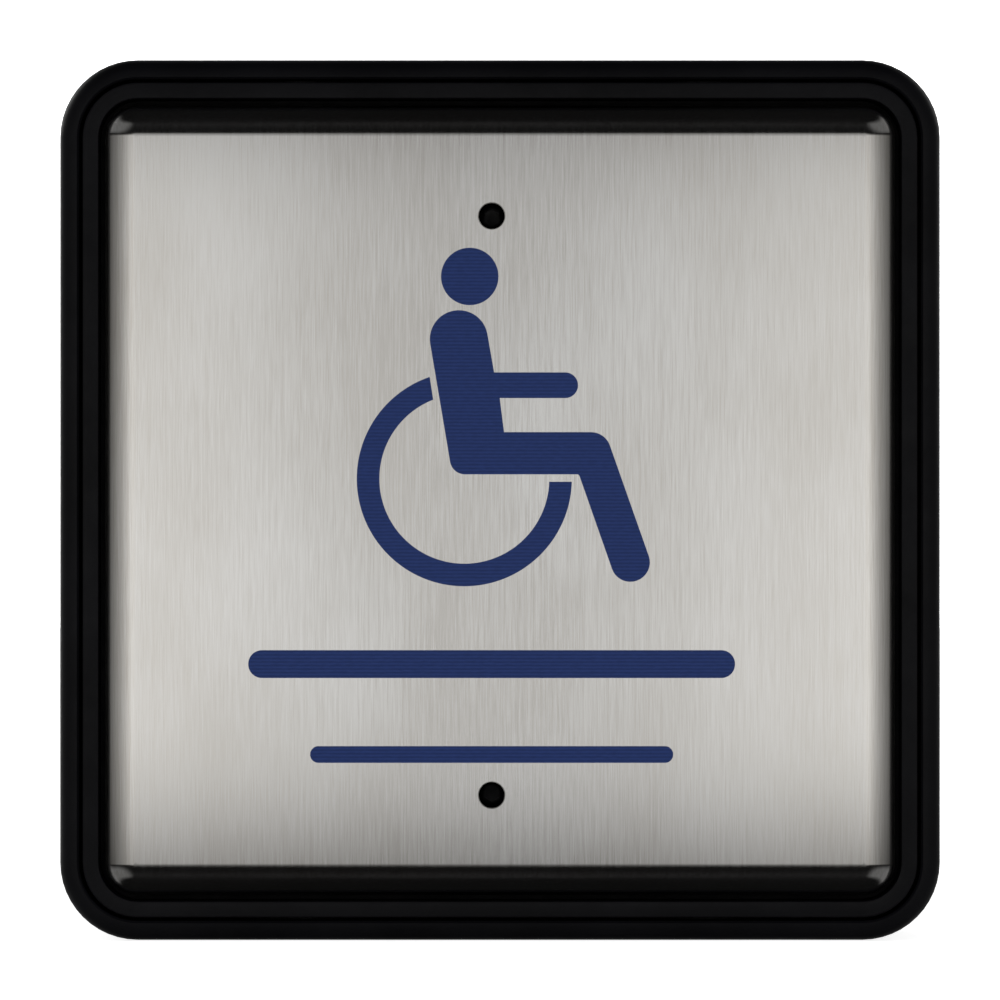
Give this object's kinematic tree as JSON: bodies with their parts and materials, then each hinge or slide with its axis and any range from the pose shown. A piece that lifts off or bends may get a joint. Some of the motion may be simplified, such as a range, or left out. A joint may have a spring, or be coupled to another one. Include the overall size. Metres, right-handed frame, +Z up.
{
  "type": "door push plate switch",
  "caption": "Square stainless push plate in a black plastic surface box, with springs and a snap-action switch behind it, for opening a powered door.",
  "frame": {"origin": "centre of the box's back face, on the wall", "axes": "+Y into the wall, -Y out through the push plate, +Z up, +X to the right seen from the front"},
  "size_m": [0.127, 0.05, 0.127],
  "materials": {
    "black_abs": "fine moulded texture",
    "stainless": "vertically brushed",
    "zinc_steel": "bright zinc plate",
    "spring_steel": "drawn",
    "black_oxide": "black oxide",
    "brass": "plain",
    "nylon": "natural",
    "rubber": "matt",
    "switch_case": "moulded",
    "switch_cover": "moulded",
    "switch_red": "moulded",
    "block_green": "moulded",
    "sleeve_blue": "translucent sleeve",
    "wire_black": "insulation",
    "wire_blue": "insulation",
    "wire_red": "insulation",
    "legend_blue": "screen-printed ink"
  },
  "bodies": {
    "box": {"back_box": "black_abs", "bezel_ring": "black_abs", "cable_grommet": "rubber", "back_plate": "zinc_steel", "lever_pivot_pin": "zinc_steel", "bezel_screw_top_left": "zinc_steel", "bezel_screw_top_right": "zinc_steel", "bezel_screw_bottom_left": "zinc_steel", "bezel_screw_bottom_right": "zinc_steel", "switch_screw_1": "zinc_steel", "switch_screw_2": "zinc_steel", "switch_nut_1": "zinc_steel", "switch_nut_2": "zinc_steel", "terminal_screw_com": "zinc_steel", "terminal_screw_no": "zinc_steel", "terminal_screw_nc": "zinc_steel", "mounting_screw_top": "black_oxide", "mounting_screw_bottom": "black_oxide", "threaded_insert_top": "brass", "threaded_insert_bottom": "brass", "switch_terminal_com": "brass", "switch_terminal_no": "brass", "switch_terminal_nc": "brass", "guide_bushing_top_left": "nylon", "guide_bushing_top_right": "nylon", "guide_bushing_bottom_left": "nylon", "guide_bushing_bottom_right": "nylon", "return_spring_top_left": "spring_steel", "return_spring_top_right": "spring_steel", "return_spring_bottom_left": "spring_steel", "return_spring_bottom_right": "spring_steel", "switch_case": "switch_case", "switch_cover": "switch_cover", "terminal_block": "block_green", "receptacle_com": "sleeve_blue", "receptacle_no": "sleeve_blue", "receptacle_nc": "sleeve_blue", "lead_com": "wire_black", "lead_no": "wire_blue", "lead_nc": "wire_red"},
    "push_plate": {"face_plate": "stainless", "striker_pad": "nylon", "guide_stud_top_left": "zinc_steel", "guide_stud_top_right": "zinc_steel", "guide_stud_bottom_left": "zinc_steel", "guide_stud_bottom_right": "zinc_steel", "stud_washer_top_left": "zinc_steel", "stud_washer_top_right": "zinc_steel", "stud_washer_bottom_left": "zinc_steel", "stud_washer_bottom_right": "zinc_steel", "lock_nut_top_left": "zinc_steel", "lock_nut_top_right": "zinc_steel", "lock_nut_bottom_left": "zinc_steel", "lock_nut_bottom_right": "zinc_steel"},
    "lever": {"switch_lever": "spring_steel", "roller_pin": "zinc_steel"},
    "roller": {"lever_roller": "nylon"},
    "plunger": {"switch_plunger": "switch_red"},
    "moving_contact": {"snap_blade": "brass"}
  },
  "joints": [
    {"name": "plate_press", "type": "slide", "parent": "box", "child": "push_plate", "axis": [0, 1, 0], "range_m": [0, 0.002], "stiffness_N_per_m": 3000, "springref_m": -0.002, "deforming": ["return_spring_top_left", "return_spring_top_right", "return_spring_bottom_left", "return_spring_bottom_right"]},
    {"name": "lever_swing", "type": "hinge", "parent": "box", "child": "lever", "pos_m": [-0.011, -0.0381, 0.006], "axis": [0, 0, 1], "range_deg": [0, 5]},
    {"name": "roller_spin", "type": "hinge", "parent": "lever", "child": "roller", "pos_m": [0.01204, -0.04374, 0.006], "axis": [0, 0, 1], "continuous": true},
    {"name": "plunger_slide", "type": "slide", "parent": "box", "child": "plunger", "axis": [0, 1, 0], "range_m": [0, 0.00075]},
    {"name": "contact_swing", "type": "hinge", "parent": "box", "child": "moving_contact", "pos_m": [-0.0064, -0.0294, 0.006], "axis": [0, 0, 1], "range_deg": [0, 3]}
  ],
  "couplings": [
    {"joint": "lever_swing", "follows": "plate_press", "rad_per_m": 43},
    {"joint": "plunger_slide", "follows": "plate_press", "ratio": 0.3675},
    {"joint": "contact_swing", "follows": "plate_press", "rad_per_m": 25.8}
  ]
}
